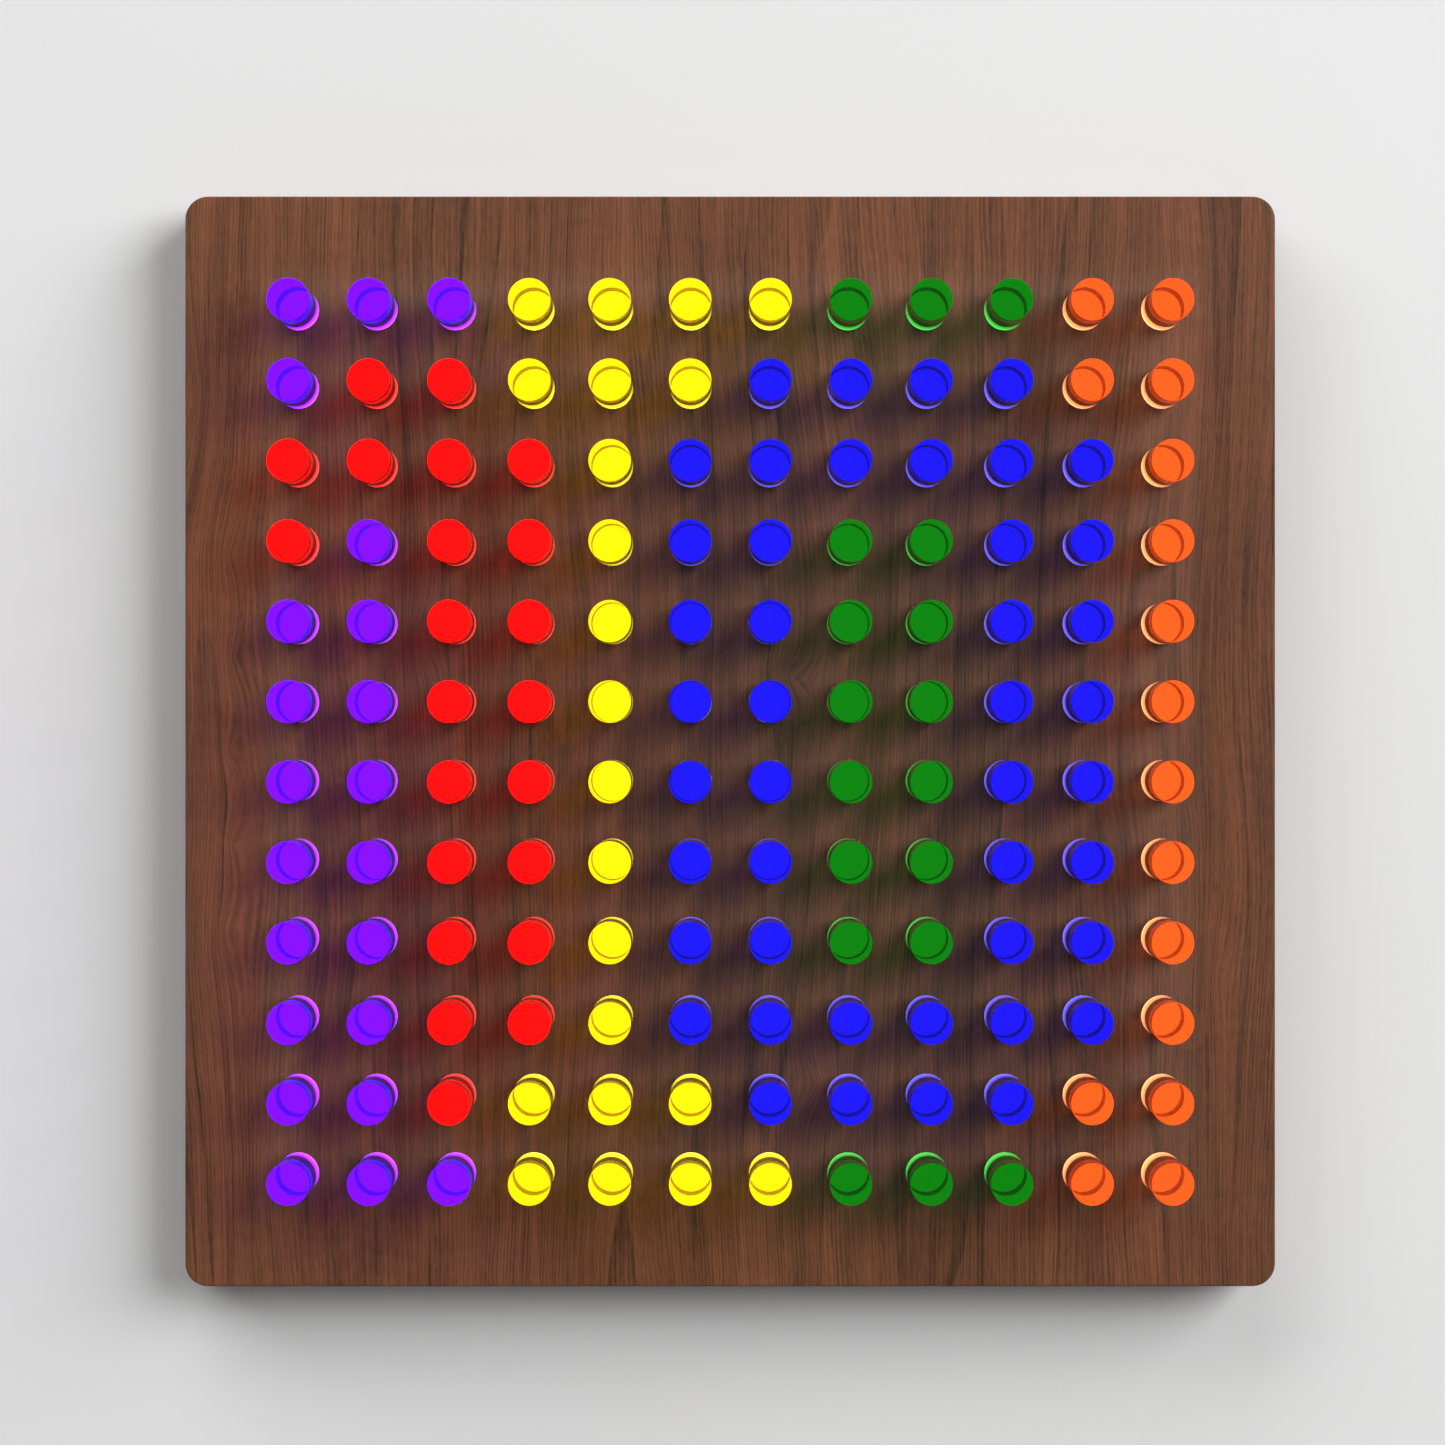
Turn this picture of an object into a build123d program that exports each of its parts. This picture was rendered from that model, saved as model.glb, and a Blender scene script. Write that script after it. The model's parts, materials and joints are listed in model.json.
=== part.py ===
from build123d import *
import os

# A square walnut light-up peg board with 144 lift-out pegs of clear coloured acrylic.
#
# Frame: millimetres, +Z up. The origin is on the table, under the middle of the board.
# Rows are counted from the far edge (+Y) to the near edge (-Y), and columns from the
# left edge (-X) to the right edge (+X).

# ---- Board ----
PEGS_PER_SIDE = 12
PITCH = 22.0                # peg centre to peg centre, both ways
BOARD_SIDE = 305.5
CORNER_RADIUS = 6.35
EDGE_ROUND = 0.5            # eased edge round the playing face and round the underside
TOP_THICKNESS = 9.2         # the drilled panel, so also the depth of the peg holes
TRAY_THICKNESS = 9.0
TRAY_FLOOR = 4.2            # wood left under the LED board

# ---- Pegs ----
PEG_DIAMETER = 11.6
PEG_PROUD = 27.1            # height above the playing face when seated
PEG_TOP_CHAMFER = 0.15
PEG_BOTTOM_CHAMFER = 0.03
SEAT_RELIEF = 0.03          # how much slimmer, in radius, the seated end is
HOLE_CLEARANCE = 0.06       # radial, round the seated end
SEAT_GAP = 0.02             # between a seated peg and the diffuser
LONGEST_GROUP = 4           # neighbouring pegs of one colour that share a node

# ---- Light ----
DIFFUSER_SIDE = 270.0
DIFFUSER_THICKNESS = 1.0
LED_BOARD_SIDE = 262.0
LED_BOARD_THICKNESS = 1.6
LED_BOARD_CLEARANCE = 1.0   # round the LED board in its pocket
LED_SIDE = 5.0
LED_HEIGHT = 1.6
LED_DOME_RADIUS = 1.8       # shallow well of clear resin in each LED
LED_DOME_DEPTH = 0.3

# ---- Battery and switch, in the rim behind the peg field ----
RIM_Y = 143.9
CELL_DIAMETER = 10.5
CELL_LENGTH = 44.5
CELLS = 3
NUB_DIAMETER = 3.8          # the cell's positive end
NUB_HEIGHT = 0.8            # counted in the cell's length
CELL_GAP = 0.1              # from a cell's positive end to the next cell
BATTERY_X = -20.0
HOLDER_WALL = 1.0
HOLDER_CLEARANCE = 0.1      # round the cells
HOLDER_FLOOR_Z = 5.0
POCKET_CLEARANCE = 0.2      # wood to holder, and wood to switch
CELL_HEADROOM = 0.4         # over the cells, in the top panel
SWITCH_X = 75.0
SWITCH_BODY = (12.0, 6.5, 4.5)
SWITCH_Z = 6.0
KNOB = (3.0, 2.6, 3.4)
KNOB_Z = 3.6                # the knob stays inside the thickness of the tray's floor
KNOB_TRAVEL = 3.0
KNOB_CLEARANCE = 0.3

# ---- Feet and the screws that hold feet, tray and top panel together ----
FOOT_DIAMETER = 14.0
FOOT_HEIGHT = 3.0
FOOT_TAPER = 1.0            # how much smaller the foot's radius is at the table
FOOT_ROUND = 0.5
FOOT_INSET = 12.0           # foot centre to board edge
SCREW_DIAMETER = 3.0
SCREW_LENGTH = 16.0         # under the head
SCREW_POINT = 0.8
SHANK_CLEARANCE = 0.2       # radial, round the shank in the foot and the tray
COUNTERBORE_CLEARANCE = 0.4  # radial, round the screw's head in the foot
PILOT_CLEARANCE = 0.02      # radial, round the screw in the top panel
PILOT_SPARE = 0.5           # hole left beyond the screw's point
HEAD_DIAMETER = 5.6
HEAD_HEIGHT = 1.5
HEAD_ROUND = 0.6
HEAD_RECESS = 0.5           # table to screw head
RECESS_WIDTH = 0.8          # cross recess in the head
RECESS_LENGTH = 3.2
RECESS_DEPTH = 0.8

# ---- Heights of the layers ----
TRAY_Z = FOOT_HEIGHT
TOP_Z = TRAY_Z + TRAY_THICKNESS
FACE_Z = TOP_Z + TOP_THICKNESS
DIFFUSER_Z = TOP_Z - DIFFUSER_THICKNESS
LED_BOARD_Z = TRAY_Z + TRAY_FLOOR
LED_Z = LED_BOARD_Z + LED_BOARD_THICKNESS
SHANK_Z = HEAD_RECESS + HEAD_HEIGHT

FOOT_SPAN = BOARD_SIDE - 2 * FOOT_INSET
LED_POCKET_SIDE = LED_BOARD_SIDE + 2 * LED_BOARD_CLEARANCE
HOLDER_LENGTH = CELLS * (CELL_LENGTH + CELL_GAP) + 2 * (HOLDER_WALL + HOLDER_CLEARANCE)
HOLDER_WIDTH = CELL_DIAMETER + 2 * (HOLDER_WALL + HOLDER_CLEARANCE)
CELL_AXIS_Z = HOLDER_FLOOR_Z + HOLDER_WALL + HOLDER_CLEARANCE + CELL_DIAMETER / 2

# ---- How the pegs stand in the board: two digits in red and blue on coloured fields ----
COLOURS = {"P": "purple", "R": "red", "Y": "yellow", "G": "green", "B": "blue", "O": "orange"}
TOP_ROWS = ["PPPYYYYGGGOO", "PRRYYYBBBBOO", "RRRRYBBBBBBO", "RPRRYBBGGBBO"]
MIDDLE_ROWS = ["PPRRYBBGGBBO"] * 5
BOTTOM_ROWS = ["PPRRYBBBBBBO", "PPRYYYBBBBOO", "PPPYYYYGGGOO"]
ROWS = TOP_ROWS + MIDDLE_ROWS + BOTTOM_ROWS


def peg_centre(row, column):
    middle = (PEGS_PER_SIDE - 1) / 2
    return ((column - middle) * PITCH, (middle - row) * PITCH)


def same_colour_runs(line):
    """The (row, column) cells of a line, cut wherever the colour changes."""
    letters = [ROWS[row][column] for row, column in line]
    starts = [i for i in range(len(line)) if i == 0 or letters[i] != letters[i - 1]]
    return [line[a:b] for a, b in zip(starts, starts[1:] + [len(line)])]


def groups_in_run(run):
    """The run cut into as few groups of LONGEST_GROUP or less as it can be, all near one length."""
    count = -(-len(run) // LONGEST_GROUP)
    cuts = [round(len(run) * i / count) for i in range(count + 1)]
    return [run[a:b] for a, b in zip(cuts, cuts[1:])]


def peg_group_name(group):
    (first_row, first_column), (last_row, last_column) = group[0], group[-1]
    colour = COLOURS[ROWS[first_row][first_column]]
    if len(group) == 1:
        return f"peg_{colour}_row{first_row + 1}_col{first_column + 1}"
    if first_row == last_row:
        return f"pegs_{colour}_row{first_row + 1}_cols{first_column + 1}_to_{last_column + 1}"
    return f"pegs_{colour}_col{first_column + 1}_rows{first_row + 1}_to_{last_row + 1}"


def write(piece, name):
    piece.part.label = name
    export_step(piece.part, f"parts/{name}.step")


os.makedirs("parts", exist_ok=True)
FROM_BELOW = (Align.CENTER, Align.CENTER, Align.MIN)

# ---- The drilled walnut panel that the pegs stand in ----
with BuildPart() as top_panel:
    with BuildSketch(Plane.XY.offset(TOP_Z)):
        RectangleRounded(BOARD_SIDE, BOARD_SIDE, CORNER_RADIUS)
        with GridLocations(PITCH, PITCH, PEGS_PER_SIDE, PEGS_PER_SIDE):
            Circle(PEG_DIAMETER / 2 - SEAT_RELIEF + HOLE_CLEARANCE, mode=Mode.SUBTRACT)
    extrude(amount=TOP_THICKNESS)
    playing_face = top_panel.faces().sort_by(Axis.Z)[-1]
    fillet(playing_face.outer_wire().edges(), EDGE_ROUND)
    # Groove over the battery cells.
    with BuildSketch(Plane.XY.offset(TOP_Z)):
        with Locations((BATTERY_X, RIM_Y)):
            Rectangle(HOLDER_LENGTH + 2 * POCKET_CLEARANCE, HOLDER_WIDTH + 2 * POCKET_CLEARANCE)
    extrude(amount=CELL_AXIS_Z + CELL_DIAMETER / 2 + CELL_HEADROOM - TOP_Z, mode=Mode.SUBTRACT)
    # Pilot holes for the screws.
    with BuildSketch(Plane.XY.offset(TOP_Z)):
        with GridLocations(FOOT_SPAN, FOOT_SPAN, 2, 2):
            Circle(SCREW_DIAMETER / 2 + PILOT_CLEARANCE)
    extrude(amount=SHANK_Z + SCREW_LENGTH + PILOT_SPARE - TOP_Z, mode=Mode.SUBTRACT)
write(top_panel, "top_panel")

# ---- The walnut tray under it, which holds the light ----
with BuildPart() as base_tray:
    with BuildSketch(Plane.XY.offset(TRAY_Z)):
        RectangleRounded(BOARD_SIDE, BOARD_SIDE, CORNER_RADIUS)
    extrude(amount=TRAY_THICKNESS)
    underside = base_tray.faces().sort_by(Axis.Z)[0]
    fillet(underside.outer_wire().edges(), EDGE_ROUND)
    # Pocket for the LED board, and the rebate round it for the diffuser.
    with BuildSketch(Plane.XY.offset(LED_BOARD_Z)):
        Rectangle(LED_POCKET_SIDE, LED_POCKET_SIDE)
    extrude(amount=TOP_Z - LED_BOARD_Z, mode=Mode.SUBTRACT)
    with BuildSketch(Plane.XY.offset(DIFFUSER_Z)):
        Rectangle(DIFFUSER_SIDE, DIFFUSER_SIDE)
    extrude(amount=DIFFUSER_THICKNESS, mode=Mode.SUBTRACT)
    # Pockets for the battery holder and the switch, and the switch's slot.
    with BuildSketch(Plane.XY.offset(HOLDER_FLOOR_Z)):
        with Locations((BATTERY_X, RIM_Y)):
            Rectangle(HOLDER_LENGTH + 2 * POCKET_CLEARANCE, HOLDER_WIDTH + 2 * POCKET_CLEARANCE)
    extrude(amount=TOP_Z - HOLDER_FLOOR_Z, mode=Mode.SUBTRACT)
    with BuildSketch(Plane.XY.offset(SWITCH_Z)):
        with Locations((SWITCH_X, RIM_Y)):
            Rectangle(SWITCH_BODY[0] + 2 * POCKET_CLEARANCE, SWITCH_BODY[1] + 2 * POCKET_CLEARANCE)
    extrude(amount=TOP_Z - SWITCH_Z, mode=Mode.SUBTRACT)
    with BuildSketch(Plane.XY.offset(TRAY_Z)):
        with Locations((SWITCH_X, RIM_Y)):
            Rectangle(KNOB[0] + KNOB_TRAVEL + 2 * KNOB_CLEARANCE, KNOB[1] + 2 * KNOB_CLEARANCE)
    extrude(amount=SWITCH_Z - TRAY_Z, mode=Mode.SUBTRACT)
    # Clearance holes for the screws.
    with BuildSketch(Plane.XY.offset(TRAY_Z)):
        with GridLocations(FOOT_SPAN, FOOT_SPAN, 2, 2):
            Circle(SCREW_DIAMETER / 2 + SHANK_CLEARANCE)
    extrude(amount=TRAY_THICKNESS, mode=Mode.SUBTRACT)
write(base_tray, "base_tray")

with BuildPart() as diffuser_sheet:
    with BuildSketch(Plane.XY.offset(DIFFUSER_Z)):
        Rectangle(DIFFUSER_SIDE, DIFFUSER_SIDE)
    extrude(amount=DIFFUSER_THICKNESS)
write(diffuser_sheet, "diffuser_sheet")

# ---- The circuit board, with one LED soldered on it under each peg ----
with BuildPart() as led_board:
    with BuildSketch(Plane.XY.offset(LED_BOARD_Z)):
        Rectangle(LED_BOARD_SIDE, LED_BOARD_SIDE)
    extrude(amount=LED_BOARD_THICKNESS)
    with BuildSketch(Plane.XY.offset(LED_Z)):
        with GridLocations(PITCH, PITCH, PEGS_PER_SIDE, PEGS_PER_SIDE):
            Rectangle(LED_SIDE, LED_SIDE)
    extrude(amount=LED_HEIGHT)
    with BuildSketch(Plane.XY.offset(LED_Z + LED_HEIGHT)):
        with GridLocations(PITCH, PITCH, PEGS_PER_SIDE, PEGS_PER_SIDE):
            Circle(LED_DOME_RADIUS)
    extrude(amount=-LED_DOME_DEPTH, mode=Mode.SUBTRACT)
write(led_board, "led_board")

# ---- The battery: three cells end to end in an open holder ----
with BuildPart() as battery_holder:
    with BuildSketch(Plane.XY.offset(HOLDER_FLOOR_Z)):
        with Locations((BATTERY_X, RIM_Y)):
            Rectangle(HOLDER_LENGTH, HOLDER_WIDTH)
    extrude(amount=TOP_Z - HOLDER_FLOOR_Z)
    with BuildSketch(Plane.XY.offset(HOLDER_FLOOR_Z + HOLDER_WALL)):
        with Locations((BATTERY_X, RIM_Y)):
            Rectangle(HOLDER_LENGTH - 2 * HOLDER_WALL, HOLDER_WIDTH - 2 * HOLDER_WALL)
    extrude(amount=TOP_Z - HOLDER_FLOOR_Z - HOLDER_WALL, mode=Mode.SUBTRACT)
write(battery_holder, "battery_holder")

with BuildPart() as battery_cells:
    for cell in range(CELLS):
        cell_end_x = BATTERY_X + (cell - CELLS / 2) * (CELL_LENGTH + CELL_GAP) + CELL_GAP / 2
        with BuildSketch(Plane.YZ.offset(cell_end_x)):
            with Locations((RIM_Y, CELL_AXIS_Z)):
                Circle(CELL_DIAMETER / 2)
        extrude(amount=CELL_LENGTH - NUB_HEIGHT)
        with BuildSketch(Plane.YZ.offset(cell_end_x + CELL_LENGTH - NUB_HEIGHT)):
            with Locations((RIM_Y, CELL_AXIS_Z)):
                Circle(NUB_DIAMETER / 2)
        extrude(amount=NUB_HEIGHT)
write(battery_cells, "battery_cells")

# ---- The slide switch, worked with a fingertip from underneath ----
with BuildPart() as switch_body:
    with BuildSketch(Plane.XY.offset(SWITCH_Z)):
        with Locations((SWITCH_X, RIM_Y)):
            Rectangle(SWITCH_BODY[0], SWITCH_BODY[1])
    extrude(amount=SWITCH_BODY[2])
    with BuildSketch(Plane.XY.offset(SWITCH_Z)):
        with Locations((SWITCH_X, RIM_Y)):
            Rectangle(KNOB[0] + KNOB_TRAVEL + 2 * KNOB_CLEARANCE, KNOB[1] + 2 * KNOB_CLEARANCE)
    extrude(amount=KNOB_Z + KNOB[2] + KNOB_CLEARANCE - SWITCH_Z, mode=Mode.SUBTRACT)
write(switch_body, "switch_body")

with BuildPart() as switch_knob:
    with BuildSketch(Plane.XY.offset(KNOB_Z)):
        with Locations((SWITCH_X - KNOB_TRAVEL / 2, RIM_Y)):
            Rectangle(KNOB[0], KNOB[1])
    extrude(amount=KNOB[2])
    # Two grip grooves across the end that the finger pushes.
    with BuildSketch(Plane.XY.offset(KNOB_Z)):
        with Locations((SWITCH_X - KNOB_TRAVEL / 2, RIM_Y)):
            with GridLocations(KNOB[0] / 3, 0, 2, 1):
                Rectangle(0.4, KNOB[1])
    extrude(amount=0.4, mode=Mode.SUBTRACT)
write(switch_knob, "switch_knob")

# ---- Four rubber feet, each held by a screw sunk into it ----
with BuildPart() as rubber_feet:
    with GridLocations(FOOT_SPAN, FOOT_SPAN, 2, 2):
        Cone(FOOT_DIAMETER / 2 - FOOT_TAPER, FOOT_DIAMETER / 2, FOOT_HEIGHT, align=FROM_BELOW)
    fillet(rubber_feet.edges().group_by(Axis.Z)[0], FOOT_ROUND)
    with BuildSketch(Plane.XY):
        with GridLocations(FOOT_SPAN, FOOT_SPAN, 2, 2):
            Circle(HEAD_DIAMETER / 2 + COUNTERBORE_CLEARANCE)
    extrude(amount=SHANK_Z, mode=Mode.SUBTRACT)
    with BuildSketch(Plane.XY.offset(SHANK_Z)):
        with GridLocations(FOOT_SPAN, FOOT_SPAN, 2, 2):
            Circle(SCREW_DIAMETER / 2 + SHANK_CLEARANCE)
    extrude(amount=FOOT_HEIGHT - SHANK_Z, mode=Mode.SUBTRACT)
write(rubber_feet, "rubber_feet")

with BuildPart() as foot_screws:
    with BuildSketch(Plane.XY.offset(HEAD_RECESS)):
        with GridLocations(FOOT_SPAN, FOOT_SPAN, 2, 2):
            Circle(HEAD_DIAMETER / 2)
    extrude(amount=HEAD_HEIGHT)
    fillet(foot_screws.edges().group_by(Axis.Z)[0], HEAD_ROUND)
    with BuildSketch(Plane.XY.offset(SHANK_Z)):
        with GridLocations(FOOT_SPAN, FOOT_SPAN, 2, 2):
            Circle(SCREW_DIAMETER / 2)
    extrude(amount=SCREW_LENGTH)
    chamfer(foot_screws.edges().group_by(Axis.Z)[-1], SCREW_POINT)
    with BuildSketch(Plane.XY.offset(HEAD_RECESS)):
        with GridLocations(FOOT_SPAN, FOOT_SPAN, 2, 2):
            Rectangle(RECESS_LENGTH, RECESS_WIDTH)
            Rectangle(RECESS_WIDTH, RECESS_LENGTH)
    extrude(amount=RECESS_DEPTH, mode=Mode.SUBTRACT)
write(foot_screws, "foot_screws")

# ---- The pegs. The far and near rows are grouped along the row, the rest down the columns ----
LAST = PEGS_PER_SIDE - 1
lines = [[(row, column) for column in range(PEGS_PER_SIDE)] for row in (0, LAST)]
lines += [[(row, column) for row in range(1, LAST)] for column in range(PEGS_PER_SIDE)]

for line in lines:
    for run in same_colour_runs(line):
        for group in groups_in_run(run):
            centres = [peg_centre(row, column) for row, column in group]
            with BuildPart() as pegs:
                with BuildSketch(Plane.XY.offset(TOP_Z + SEAT_GAP)):
                    with Locations(centres):
                        Circle(PEG_DIAMETER / 2 - SEAT_RELIEF)
                extrude(amount=TOP_THICKNESS - SEAT_GAP)
                with BuildSketch(Plane.XY.offset(FACE_Z)):
                    with Locations(centres):
                        Circle(PEG_DIAMETER / 2)
                extrude(amount=PEG_PROUD)
                chamfer(pegs.edges().group_by(Axis.Z)[0], PEG_BOTTOM_CHAMFER)
                chamfer(pegs.edges().group_by(Axis.Z)[-1], PEG_TOP_CHAMFER)
            write(pegs, peg_group_name(group))
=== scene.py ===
import json
import math

import bpy
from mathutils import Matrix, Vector


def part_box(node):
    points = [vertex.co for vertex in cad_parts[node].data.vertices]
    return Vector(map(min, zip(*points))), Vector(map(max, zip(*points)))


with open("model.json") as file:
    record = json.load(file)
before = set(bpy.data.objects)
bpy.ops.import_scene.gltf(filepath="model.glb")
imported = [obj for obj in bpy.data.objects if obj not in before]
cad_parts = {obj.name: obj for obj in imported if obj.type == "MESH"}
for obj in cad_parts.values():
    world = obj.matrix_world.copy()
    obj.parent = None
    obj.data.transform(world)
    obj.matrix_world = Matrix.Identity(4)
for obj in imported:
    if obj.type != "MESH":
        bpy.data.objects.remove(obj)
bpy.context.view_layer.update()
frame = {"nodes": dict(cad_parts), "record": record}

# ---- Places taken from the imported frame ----
panel_low, panel_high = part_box("top_panel")
peg_low, peg_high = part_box("peg_orange_row2_col11")
cells_low, cells_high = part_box("battery_cells")
leds_low, leds_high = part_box("led_board")
FACE_Z = panel_high.z
PEG_LENGTH = peg_high.z - peg_low.z
PEG_PITCH = 0.022
PEG_END_CHAMFER = 0.03               # in millimetres, round a peg's lower end
WINDOW_RADIUS = (peg_high.x - peg_low.x) / 2 * 1000 - PEG_END_CHAMFER    # in millimetres
WINDOW_EDGE = 0.01                   # half the width of the soft edge of the print

# ---- Camera: straight down, a 97 mm lens on a 36 mm sensor ----
LENS = 97.0
SENSOR = 36.0
HEIGHT_OVER_FACE = 1.09125
CAMERA_OFFSET = (-0.00215, 0.00528)    # the lens isn't quite over the middle of the board


def make_camera():
    data = bpy.data.cameras.new("camera")
    data.lens = LENS
    data.sensor_width = SENSOR
    data.clip_start = 0.01
    data.clip_end = 30.0
    camera = bpy.data.objects.new("camera", data)
    camera.location = (*CAMERA_OFFSET, FACE_Z + HEIGHT_OVER_FACE)
    bpy.context.scene.collection.objects.link(camera)
    bpy.context.scene.camera = camera


# ---- Node materials ----
MM = 1000.0                          # texture coordinates are in millimetres


class Graph:
    """A material's node tree, with short calls for the nodes used here."""

    def __init__(self, name):
        self.material = bpy.data.materials.new(name)
        self.material.use_nodes = True
        self.tree = self.material.node_tree
        self.principled = self.tree.nodes["Principled BSDF"]
        self.output = self.tree.nodes["Material Output"]

    def node(self, kind, **settings):
        made = self.tree.nodes.new("ShaderNode" + kind)
        for key, value in settings.items():
            setattr(made, key, value)
        return made

    def put(self, value, socket):
        """Links a socket to a socket, or sets a plain value on it."""
        if isinstance(value, bpy.types.NodeSocket):
            self.tree.links.new(value, socket)
        elif isinstance(value, tuple) and len(value) == 3 and socket.type == "RGBA":
            socket.default_value = (*value, 1.0)
        else:
            socket.default_value = value

    def shader(self, **values):
        """Sets the Principled shader's inputs, such as Base_Color or Roughness."""
        for key, value in values.items():
            self.put(value, self.principled.inputs[key.replace("_", " ")])

    def math(self, operation, a, b=0.0, c=0.0, clamp=False):
        made = self.node("Math", operation=operation, use_clamp=clamp)
        for value, socket in zip((a, b, c), made.inputs):
            self.put(value, socket)
        return made.outputs[0]

    def place(self, offset=(0, 0, 0)):
        """Object coordinates in millimetres, moved by offset."""
        mapping = self.node("Mapping")
        self.put(self.node("TexCoord").outputs["Object"], mapping.inputs["Vector"])
        self.put(offset, mapping.inputs["Location"])
        self.put((MM, MM, MM), mapping.inputs["Scale"])
        return mapping.outputs[0]

    def split(self, vector):
        made = self.node("SeparateXYZ")
        self.put(vector, made.inputs[0])
        return tuple(made.outputs)

    def noise(self, vector, size=1.0, detail=2.0, roughness=0.5, distortion=0.0):
        """Noise round 0.5, with features about size across."""
        made = self.node("TexNoise")
        self.put(vector, made.inputs["Vector"])
        self.put(1.0 / size, made.inputs["Scale"])
        self.put(detail, made.inputs["Detail"])
        self.put(roughness, made.inputs["Roughness"])
        self.put(distortion, made.inputs["Distortion"])
        return made.outputs["Fac"]

    def stretched_noise(self, parts, sizes, detail=2.0, roughness=0.5):
        """Noise whose features are sizes across along x, y and z."""
        vector = self.node("CombineXYZ")
        for part, size, socket in zip(parts, sizes, vector.inputs):
            self.put(self.math("DIVIDE", part, size), socket)
        return self.noise(vector.outputs[0], 1.0, detail, roughness)

    def map_range(self, value, low, high, to_low=0.0, to_high=1.0, smooth=False):
        made = self.node("MapRange", interpolation_type="SMOOTHSTEP" if smooth else "LINEAR")
        for socket, x in zip(made.inputs, (value, low, high, to_low, to_high)):
            self.put(x, socket)
        return made.outputs[0]

    def ramp(self, value, *stops):
        made = self.node("ValToRGB")
        self.put(value, made.inputs["Fac"])
        elements = made.color_ramp.elements
        while len(elements) < len(stops):
            elements.new(0.5)
        for element, (place, colour) in zip(elements, stops):
            element.position = place
            element.color = (*colour, 1.0)
        return made.outputs["Color"]

    def mix(self, factor, a, b, blend="MIX"):
        made = self.node("Mix", data_type="RGBA", blend_type=blend)
        self.put(factor, made.inputs["Factor"])
        self.put(a, made.inputs[6])
        self.put(b, made.inputs[7])
        return made.outputs[2]

    def weighted_sum(self, *terms):
        """The sum of weight * (value - 0.5) over (value, weight) pairs."""
        total = 0.0
        for value, weight in terms:
            centred = self.math("SUBTRACT", value, 0.5)
            total = self.math("MULTIPLY_ADD", centred, weight, total)
        return total

    def bump(self, height, distance, strength=1.0):
        made = self.node("Bump")
        self.put(strength, made.inputs["Strength"])
        self.put(distance, made.inputs["Distance"])
        self.put(height, made.inputs["Height"])
        self.put(made.outputs[0], self.principled.inputs["Normal"])


# ---- Walnut ----
# Where the grain swells round a knot below the face: x, y, reach across, reach along and
# how far it pushes the grain aside, all in millimetres.
SWIRLS = (
    (-140, 52, 10, 19, 4.5),
    (-139, 24, 10, 20, 5.0),
    (-140, -2, 10, 20, 5.5),
    (-139, -29, 10, 20, 5.0),
    (-141, -54, 10, 21, 4.0),
    (-150, 96, 12, 34, -6.0),
    (-85, 28, 6, 13, 5.0),
    (18, 18, 8, 7, 4.5),
    (24, -96, 9, 12, -5.0),
    (137, -68, 7, 34, 4.0),
)
SWIRL_SPREAD = 1.6                   # how far past its reach a swirl fades out
WALNUT = (1.0, 0.335, 0.150)         # the hue; the tone below scales it
WALNUT_TONE = 0.148
GRAIN_SPACING = 1.15                 # between fine grain lines, in millimetres
WALNUT_PAINTED_SHEEN = (0.015, 0.010, 0.005)  # painted sheen: a pale reflection on the oiled face, added to its colour
FIELD_PAINTED_LIGHT = (0.034, 0.030, 0.023)   # painted light, the same round and between the pegs but paler, to offset the shade the pegs cast
FIELD_SIDE = 264.0                   # the square round the pegs that gets the painted light, in millimetres
FIELD_INNER_FADE = 8.0               # how far inside its edge the painted light starts to fade
FIELD_OUTER_FADE = 4.0               # how far outside it the fade ends


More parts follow.
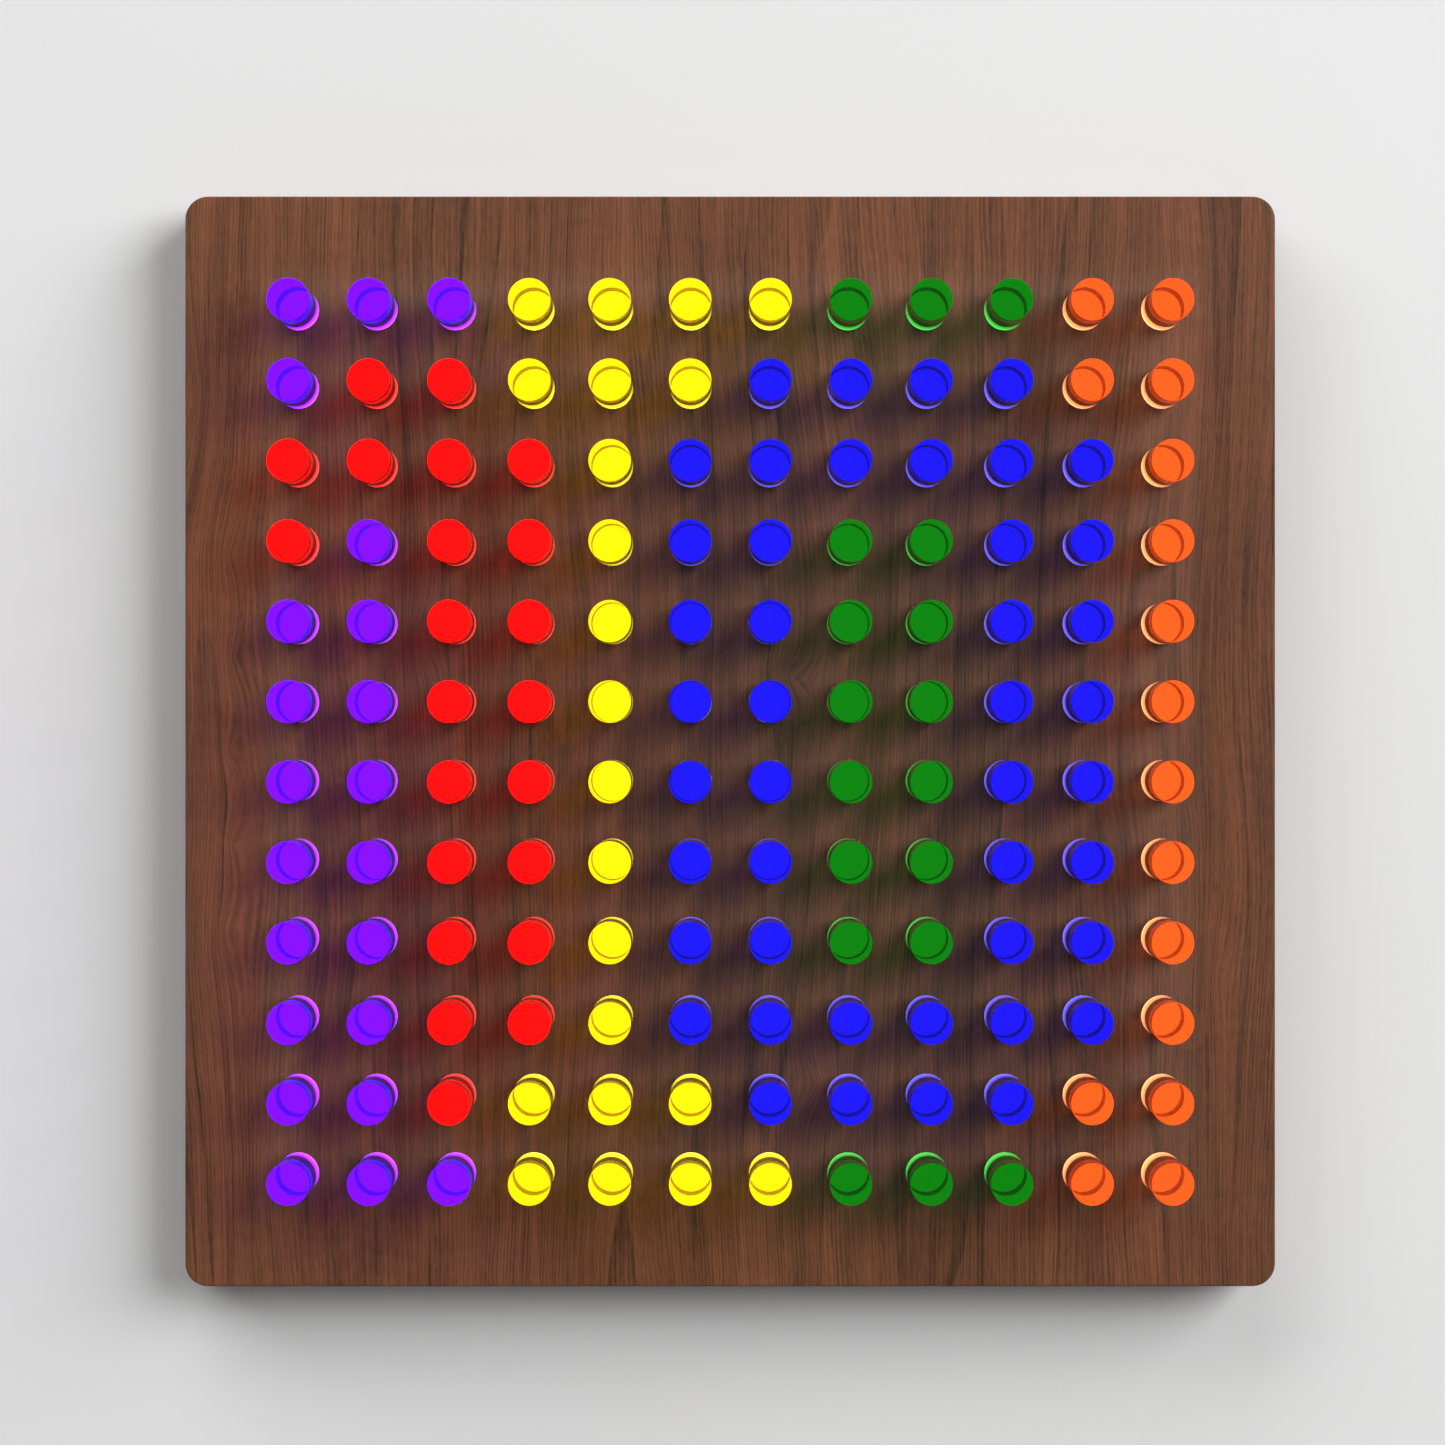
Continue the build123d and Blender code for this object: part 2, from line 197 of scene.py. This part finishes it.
def walnut(name, offset):
    """Dark oiled walnut, its grain along Y. Every streak follows the same bent grain lines. Its colour
    carries a painted sheen all over, painted light round and between the pegs, and faint painted
    chatoyance ripples.
    """
    g = Graph(name)
    x, y, z = g.split(g.place(offset))
    sway = g.stretched_noise((x, y, z), (60, 190, 60), 1.0)
    wander = g.stretched_noise((x, y, z), (16, 48, 16), 2.0)
    across = g.math("ADD", x, g.weighted_sum((sway, 26.0), (wander, 2.4)))
    for cx, cy, reach_x, reach_y, push in SWIRLS:
        sphere = g.node("TexGradient", gradient_type="QUADRATIC_SPHERE")
        middle = g.node("CombineXYZ")
        from_x = g.math("SUBTRACT", x, cx + offset[0])
        from_y = g.math("SUBTRACT", y, cy + offset[1])
        g.put(g.math("DIVIDE", from_x, reach_x * SWIRL_SPREAD), middle.inputs[0])
        g.put(g.math("DIVIDE", from_y, reach_y * SWIRL_SPREAD), middle.inputs[1])
        g.put(middle.outputs[0], sphere.inputs[0])
        across = g.math("MULTIPLY_ADD", sphere.outputs["Fac"], push, across)
    lines = (across, y, z)

    bands = g.stretched_noise(lines, (14, 300, 40), 2.0)
    streaks = g.stretched_noise(lines, (3.2, 90, 9), 3.0, 0.6)
    fibres = g.stretched_noise(lines, (0.55, 36, 1.2), 3.0, 0.65)
    flecks = g.stretched_noise(lines, (0.42, 3.6, 0.6), 1.0)
    # Painted chatoyance: soft ripples across the grain, a shimmer of light painted into the tone.
    painted_chatoyance = g.stretched_noise((x, y, z), (9, 3.5, 9), 2.0)
    patches = g.stretched_noise((x, y, z), (30, 45, 30), 2.0)

    # Fine grain lines, GRAIN_SPACING apart, stronger in some places than in others.
    wobble = g.stretched_noise(lines, (2.6, 55, 8), 2.0)
    phase = g.math("MULTIPLY_ADD", across, 2 * math.pi / GRAIN_SPACING, g.math("MULTIPLY", wobble, 9.0))
    grain_lines = g.math("MULTIPLY", g.math("SINE", phase), g.map_range(patches, 0.35, 0.65, 0.07, 0.21))

    # Growth rings are the contour lines of a slow noise that follows the grain: each is darkest
    # at its dark line and lightest just past it.
    slow = g.stretched_noise(lines, (26, 420, 60), 1.0)
    ring_phase = g.math("FRACT", g.math("MULTIPLY", slow, 9.0))
    ring_line = g.math("MULTIPLY", g.map_range(ring_phase, 0.80, 0.97, smooth=True),
                       g.map_range(ring_phase, 1.0, 0.97))
    ring_strength = g.map_range(g.stretched_noise((x, y, z), (24, 80, 24), 2.0), 0.38, 0.62)
    rings = g.math("MULTIPLY", ring_line, ring_strength)
    dark_streaks = g.map_range(streaks, 0.62, 0.40, 0.15, 1.0)
    pore_marks = g.math("MULTIPLY", g.map_range(flecks, 0.64, 0.76), dark_streaks)

    tone = g.weighted_sum((bands, 1.15), (streaks, 0.95), (fibres, 1.6), (flecks, 0.85), (painted_chatoyance, 0.3),
                          (patches, 0.4), (ring_phase, -0.22))
    tone = g.math("ADD", tone, g.math("ADD", grain_lines, 1.0))
    tone = g.math("MULTIPLY_ADD", rings, -0.36, tone)
    tone = g.math("MULTIPLY_ADD", pore_marks, -0.40, tone)
    tone = g.math("MAXIMUM", tone, 0.25)
    tone = g.math("MULTIPLY", tone, WALNUT_TONE)
    colour = g.node("Mix", data_type="RGBA", blend_type="MULTIPLY")
    g.put(1.0, colour.inputs["Factor"])
    g.put(tone, colour.inputs[6])
    g.put(WALNUT, colour.inputs[7])
    warmth = g.map_range(streaks, 0.3, 0.7)
    cool = g.mix(1.0, colour.outputs[2], (0.98, 1.01, 1.04), "MULTIPLY")
    # Painted light: the colour is made paler inside the square round the pegs, to offset the shade the
    # pegs cast.
    from_middle = g.math("MAXIMUM", g.math("ABSOLUTE", x), g.math("ABSOLUTE", y))
    inner = FIELD_SIDE / 2 - FIELD_INNER_FADE
    outer = FIELD_SIDE / 2 + FIELD_OUTER_FADE
    painted_light_mask = g.map_range(from_middle, inner, outer, 1.0, 0.0, smooth=True)
    wood = g.mix(warmth, cool, colour.outputs[2])
    # haze mixes the painted sheen over the whole face with the stronger painted light round and between
    # the pegs.
    haze = g.mix(painted_light_mask, WALNUT_PAINTED_SHEEN, FIELD_PAINTED_LIGHT)
    g.shader(
        Base_Color=g.mix(1.0, wood, haze, "ADD"),
        Roughness=g.map_range(g.weighted_sum((fibres, 0.5), (patches, 0.5)), -0.2, 0.2, 0.48, 0.62),
        Specular_IOR_Level=0.22,
    )
    relief = g.math("MULTIPLY_ADD", pore_marks, -1.0, g.math("MULTIPLY", fibres, 0.5))
    g.bump(relief, 0.00004)
    return g.material


# ---- Pegs: clear acrylic rod, tinted through, with the side of the seated end left brown ----
LIGHT = 4.5                          # brightness of the lit diffuser
FACE_LOSS = 0.93                     # what the two end faces let through
SURFACE_HAZE = 0.005                 # handling marks: the share of the surface that scatters light

# The colour each peg shows looking straight down through it at the lit diffuser, and its
# refraction index. Real acrylic's is 1.49: these lower ones are chosen for the look from above.
PEG_COLOURS = {
    "purple": ((0.2450, 0.0008, 3.400), 1.186),
    "red": ((3.3500, 0.0012, 0.0010), 1.22),
    "yellow": ((1.4500, 0.9650, 0.0006), 1.143),
    "green": ((0.0006, 0.2250, 0.0012), 1.178),
    "blue": ((0.0100, 0.0062, 0.930), 1.174),
    "orange": ((1.4500, 0.1300, 0.0120), 1.17),
}


def acrylic(name, seen_colour, index):
    """Rod that turns the diffuser's white into seen_colour over the length of a peg."""
    g = Graph(name)
    clear = [min(0.995, c / (LIGHT * FACE_LOSS)) for c in seen_colour]
    per_metre = [-math.log(c) / PEG_LENGTH for c in clear]
    strongest = max(per_metre)
    absorption = g.node("VolumeAbsorption")
    g.put(tuple(1 - k / strongest for k in per_metre), absorption.inputs["Color"])
    g.put(strongest, absorption.inputs["Density"])
    g.put(absorption.outputs[0], g.output.inputs["Volume"])
    place = g.place()
    haze = g.noise(place, 2.2, 3.0, 0.6)
    g.shader(
        Base_Color=(1.0, 1.0, 1.0),
        Roughness=g.map_range(haze, 0.55, 0.85, 0.0, 0.03),
        IOR=index,
        Transmission_Weight=1.0 - SURFACE_HAZE,
    )
    return g.material


def seat_finish():
    """The brown satin side of a peg's seated end, with the marks of being pushed in and pulled out."""
    g = Graph("peg_seat")
    place = g.place()
    x, y, z = g.split(place)
    rubbed = g.stretched_noise((x, y, z), (0.9, 0.9, 9.0), 3.0, 0.6)
    tone = g.map_range(rubbed, 0.25, 0.75, 0.85, 1.15)
    g.shader(
        Base_Color=g.mix(1.0, (0.17, 0.085, 0.05), tone, "MULTIPLY"),
        Roughness=g.map_range(rubbed, 0.3, 0.7, 0.26, 0.36),
    )
    g.bump(rubbed, 0.00001)
    return g.material


# ---- The light ----
def from_peg_centre(g):
    """Distance in millimetres from the nearest peg's axis."""
    x, y, z = g.split(g.place())
    half = PEG_PITCH * MM / 2
    squares = []
    for axis in (x, y):
        offset = g.math("SUBTRACT", half, g.math("PINGPONG", axis, half))
        squares.append(g.math("MULTIPLY", offset, offset))
    return g.math("SQRT", g.math("ADD", *squares))


def opal():
    """Lit opal sheet, printed black but for a round window under each peg."""
    g = Graph("opal")
    distance = from_peg_centre(g)
    window = g.map_range(distance, WINDOW_RADIUS - WINDOW_EDGE, WINDOW_RADIUS + WINDOW_EDGE, 1.0, 0.0)
    falloff = g.map_range(distance, 0.0, WINDOW_RADIUS, 1.0, 0.985)
    grain = g.map_range(g.noise(g.place(), 0.6, 2.0), 0.3, 0.7, 0.995, 1.005)
    lit = g.math("MULTIPLY", g.math("MULTIPLY", falloff, grain), window)
    g.shader(
        Base_Color=g.mix(window, (0.02, 0.02, 0.02), (0.9, 0.9, 0.88)),
        Roughness=0.6,
        Emission_Color=(1.0, 1.0, 1.0),
        Emission_Strength=g.math("MULTIPLY", lit, LIGHT),
    )
    g.bump(g.noise(g.place(), 0.4, 2.0), 0.000005)
    return g.material


def circuit_board():
    """White solder mask with copper tracks showing faintly through it along the rows of LEDs."""
    g = Graph("circuit_board")
    x, y, z = g.split(g.place())
    from_row = g.math("PINGPONG", g.math("ADD", y, PEG_PITCH * MM / 2), PEG_PITCH * MM / 2)
    track = g.map_range(from_row, 0.9, 1.1, 1.0, 0.0)
    dust = g.noise(g.place(), 3.0, 4.0)
    mask = g.mix(g.math("MULTIPLY", track, 0.35), (0.80, 0.81, 0.79), (0.62, 0.60, 0.52))
    g.shader(
        Base_Color=g.mix(g.map_range(dust, 0.5, 0.8, 0.0, 0.25), mask, (0.60, 0.59, 0.56)),
        Roughness=g.map_range(dust, 0.3, 0.7, 0.35, 0.5),
    )
    g.bump(track, 0.00002)
    return g.material


LED_WELL_RADIUS = 1.8                # in millimetres


def led_package():
    """White LED housing with its yellow phosphor in the round well."""
    g = Graph("led_package")
    phosphor = g.map_range(from_peg_centre(g), LED_WELL_RADIUS - 0.05, LED_WELL_RADIUS + 0.05, 1.0, 0.0)
    speckle = g.noise(g.place(), 0.25, 2.0)
    yellow = g.ramp(speckle, (0.3, (0.72, 0.58, 0.05)), (0.7, (0.85, 0.72, 0.10)))
    g.shader(
        Base_Color=g.mix(phosphor, (0.85, 0.85, 0.82), yellow),
        Roughness=g.map_range(speckle, 0.3, 0.7, 0.3, 0.45),
    )
    return g.material


def moulded(name, colour, roughness, texture_size, depth):
    """Moulded plastic or rubber with a fine spark-eroded texture and faint rubbed patches."""
    g = Graph(name)
    fine = g.noise(g.place(), texture_size, 3.0, 0.6)
    rubbed = g.noise(g.place(), 6.0, 4.0, 0.6)
    light = tuple(min(1.0, c * 1.25 + 0.01) for c in colour)
    g.shader(
        Base_Color=g.mix(g.map_range(rubbed, 0.4, 0.75), colour, light),
        Roughness=g.map_range(rubbed, 0.3, 0.7, roughness + 0.06, roughness - 0.06),
    )
    g.bump(fine, depth)
    return g.material


def cell_jacket():
    """Printed jacket of a dry cell: dark, with a copper-coloured band at the positive end."""
    g = Graph("cell_jacket")
    x, y, z = g.split(g.place((-cells_low.x * MM, 0, 0)))
    cell = (cells_high.x - cells_low.x) * MM / 3
    along = g.math("MODULO", x, cell)
    band = g.map_range(along, cell * 0.76, cell * 0.765)
    shrink = g.stretched_noise((x, y, z), (5.0, 0.7, 0.7), 3.0)
    jacket = g.mix(band, (0.035, 0.04, 0.05), (0.50, 0.23, 0.10))
    g.shader(
        Base_Color=g.mix(g.map_range(shrink, 0.55, 0.85, 0.0, 0.2), jacket, (0.3, 0.3, 0.3)),
        Roughness=g.map_range(shrink, 0.3, 0.7, 0.22, 0.4),
        Metallic=g.math("MULTIPLY", band, 0.8),
    )
    g.bump(shrink, 0.00001)
    return g.material


def bright_steel(name):
    """Zinc-plated or bare steel, brushed, with dull spots."""
    g = Graph(name)
    x, y, z = g.split(g.place())
    brushed = g.stretched_noise((x, y, z), (0.12, 2.5, 2.5), 3.0, 0.6)
    dull = g.noise(g.place(), 1.4, 4.0, 0.6)
    g.shader(
        Base_Color=g.ramp(dull, (0.35, (0.62, 0.61, 0.58)), (0.7, (0.46, 0.45, 0.43))),
        Metallic=1.0,
        Roughness=g.map_range(g.weighted_sum((brushed, 0.6), (dull, 0.6)), -0.2, 0.2, 0.22, 0.42),
    )
    g.bump(brushed, 0.000006)
    return g.material


# ---- Materials on the CAD nodes ----
def paint(node, main, *others):
    """Gives a CAD node its main material, and each (material, test) in others to the faces it accepts."""
    mesh = frame["nodes"][node].data
    mesh.materials.clear()
    mesh.materials.append(main)
    for index, (material, test) in enumerate(others, start=1):
        mesh.materials.append(material)
        for face in mesh.polygons:
            if test(face):
                face.material_index = index


BOARD_TOP = 0.0017    # just above the circuit board's own top, so that only LED faces pass
NUB_REACH = 0.0021    # faces this near a cell's axis belong to its positive nub


def side_of_seat(face):
    return face.center.z < FACE_Z and abs(face.normal.z) < 0.9


def on_led(face):
    return face.center.z > leds_low.z + BOARD_TOP


def end_of_cell(face):
    off_axis = abs(face.center.z - (cells_low.z + cells_high.z) / 2)
    return abs(face.normal.x) > 0.5 or off_axis < NUB_REACH


def paint_nodes():
    slots = {s["node"]: s["material_slot"] for s in frame["record"]["subparts"]}
    seat = seat_finish()
    rods = {f"acrylic_{name}": acrylic(f"acrylic_{name}", *look) for name, look in PEG_COLOURS.items()}
    black = moulded("black_plastic", (0.025, 0.025, 0.027), 0.5, 0.25, 0.00002)
    for node in frame["nodes"]:
        if slots[node] in rods:
            paint(node, rods[slots[node]], (seat, side_of_seat))
    paint("top_panel", walnut("walnut", (0, 0, 0)))
    paint("base_tray", walnut("walnut_tray", (310, 145, 40)))
    paint("diffuser_sheet", opal())
    paint("led_board", circuit_board(), (led_package(), on_led))
    paint("battery_holder", black)
    paint("battery_cells", cell_jacket(), (bright_steel("cell_end"), end_of_cell))
    paint("switch_body", black)
    paint("switch_knob", moulded("white_plastic", (0.78, 0.78, 0.75), 0.42, 0.3, 0.00001))
    paint("rubber_feet", moulded("rubber", (0.022, 0.022, 0.022), 0.75, 0.5, 0.00004))
    paint("foot_screws", bright_steel("screw_steel"))


# ---- Floor, light, camera ----
FLOOR_SIZE = 60.0
FLOOR_TONE = 0.80
WORLD_LIGHT = 0.128


def make_floor():
    mesh = bpy.data.meshes.new("floor")
    half = FLOOR_SIZE / 2
    corners = [(-half, -half, 0), (half, -half, 0), (half, half, 0), (-half, half, 0)]
    mesh.from_pydata(corners, [], [(0, 1, 2, 3)])
    floor = bpy.data.objects.new("floor", mesh)
    bpy.context.scene.collection.objects.link(floor)
    g = Graph("floor")
    mottle = g.noise(g.place(), 220.0, 2.0)
    shade = g.map_range(mottle, 0.3, 0.7, FLOOR_TONE - 0.006, FLOOR_TONE + 0.006)
    g.shader(Base_Color=shade, Roughness=0.9, Specular_IOR_Level=0.1)
    mesh.materials.append(g.material)


def soft_light(name, place, size, power):
    """A rectangular soft light that faces the board."""
    data = bpy.data.lights.new(name, "AREA")
    data.shape = "RECTANGLE"
    data.size, data.size_y = size
    data.energy = power
    light = bpy.data.objects.new(name, data)
    light.location = place
    light.rotation_mode = "QUATERNION"
    light.rotation_quaternion = (-Vector(place)).to_track_quat("-Z", "Y")
    light.visible_camera = False
    bpy.context.scene.collection.objects.link(light)


def make_world(strength):
    world = bpy.data.worlds.new("world")
    world.use_nodes = True
    background = world.node_tree.nodes["Background"]
    background.inputs["Color"].default_value = (1, 1, 1, 1)
    background.inputs["Strength"].default_value = strength
    bpy.context.scene.world = world


make_camera()
paint_nodes()
make_floor()
make_world(WORLD_LIGHT)
soft_light("far_light", (-1.53, 3.12, 1.95), (4.50, 1.78), 101.0)
soft_light("right_light", (3.16, 1.58, 2.95), (2.71, 4.13), 226.0)
bpy.context.scene.view_settings.view_transform = "Standard"
